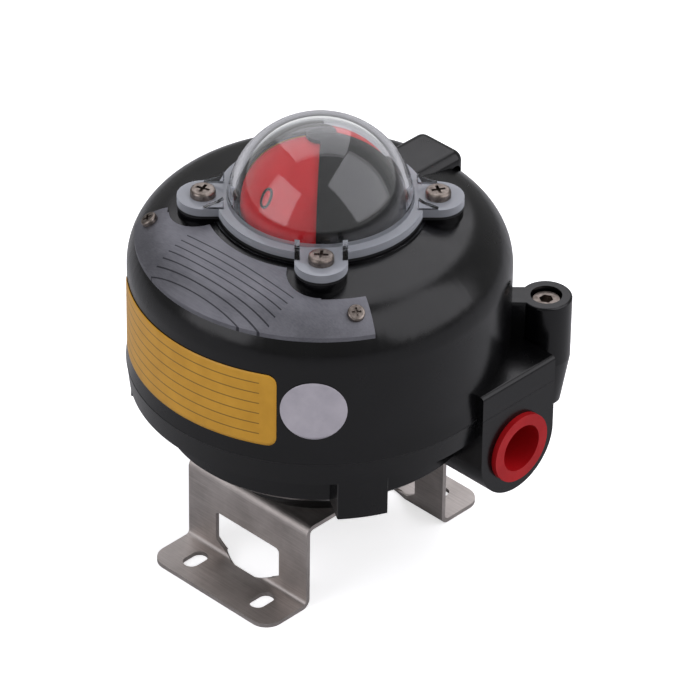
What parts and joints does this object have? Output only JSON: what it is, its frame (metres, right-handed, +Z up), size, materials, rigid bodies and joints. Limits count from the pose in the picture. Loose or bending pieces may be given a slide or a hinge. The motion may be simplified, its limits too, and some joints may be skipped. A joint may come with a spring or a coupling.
{
  "type": "valve limit switch box",
  "caption": "Round die-cast valve limit switch box with a clear position-indicator dome, cable entry, bolt ears and a slotted sheet-steel actuator bracket.",
  "frame": {"origin": "centre of the four foot slots, on the underside of the bracket feet", "axes": "+Z up along the drive shaft; X along the 80 mm slot spacing; Y along the cable entries, the plugged one at -Y"},
  "size_m": [0.1212, 0.1268, 0.1543],
  "materials": {
    "stainless_sheet": "brushed stainless sheet",
    "stainless_screw": "plain stainless",
    "stainless_shaft": "turned stainless",
    "black_housing": "semi-gloss black powder coat on die-cast aluminium",
    "bronze": "sintered bronze",
    "rubber_seal": "matt",
    "red_plug": "moulded polyethylene",
    "etched_plate": "fine brushed",
    "clear_dome": "clear polycarbonate",
    "black_mask": "moulded",
    "spring_steel": "plain",
    "red_cam": "moulded",
    "green_cam": "moulded",
    "red_rotor": "moulded",
    "yellow_rotor": "moulded",
    "switch_case": "moulded",
    "terminal_plastic": "moulded",
    "brass_screw": "plain"
  },
  "bodies": {
    "root": {"mounting_bracket": "stainless_sheet", "bracket_screws": "stainless_screw", "base_housing": "black_housing", "shaft_bush": "bronze", "shaft_seal": "rubber_seal", "cover_seal": "rubber_seal", "cover": "black_housing", "cover_bolts_upper": "stainless_screw", "cover_bolts_lower": "stainless_screw", "conduit_plug": "red_plug", "nameplate": "etched_plate", "nameplate_screws": "stainless_screw", "dome_gasket": "rubber_seal", "clear_dome": "clear_dome", "dome_screws": "stainless_screw", "indicator_mask": "black_mask", "closed_switch": "switch_case", "open_switch": "switch_case", "switch_bracket": "stainless_sheet", "switch_screws": "stainless_screw", "terminal_strip": "terminal_plastic", "terminal_screws": "brass_screw", "earth_screw": "brass_screw"},
    "shaft": {"drive_shaft": "stainless_shaft", "retaining_clips": "spring_steel", "closed_cam": "red_cam", "open_cam": "green_cam", "cam_spring": "spring_steel", "indicator_hub": "black_mask", "indicator_screw": "stainless_screw", "rotor_red_sectors": "red_rotor", "rotor_yellow_sectors": "yellow_rotor"},
    "closed_lever": {"closed_lever": "spring_steel"},
    "open_lever": {"open_lever": "spring_steel"}
  },
  "joints": [
    {"name": "shaft_turn", "type": "hinge", "parent": "root", "child": "shaft", "pos_m": [0, 0, 0.07], "axis": [0, 0, 1], "range_deg": [0, 90]},
    {"name": "closed_lever_swing", "type": "hinge", "parent": "root", "child": "closed_lever", "pos_m": [0.0162, 0.017, 0.077], "axis": [0, 0, 1], "range_deg": [-5.11, 0]},
    {"name": "open_lever_swing", "type": "hinge", "parent": "root", "child": "open_lever", "pos_m": [0.0162, 0.017, 0.089], "axis": [0, 0, 1], "range_deg": [0, 5.11]}
  ],
  "couplings": [
    {"joint": "closed_lever_swing", "follows": "shaft_turn", "ratio": -0.05618},
    {"joint": "open_lever_swing", "follows": "shaft_turn", "ratio": 0.05618}
  ]
}
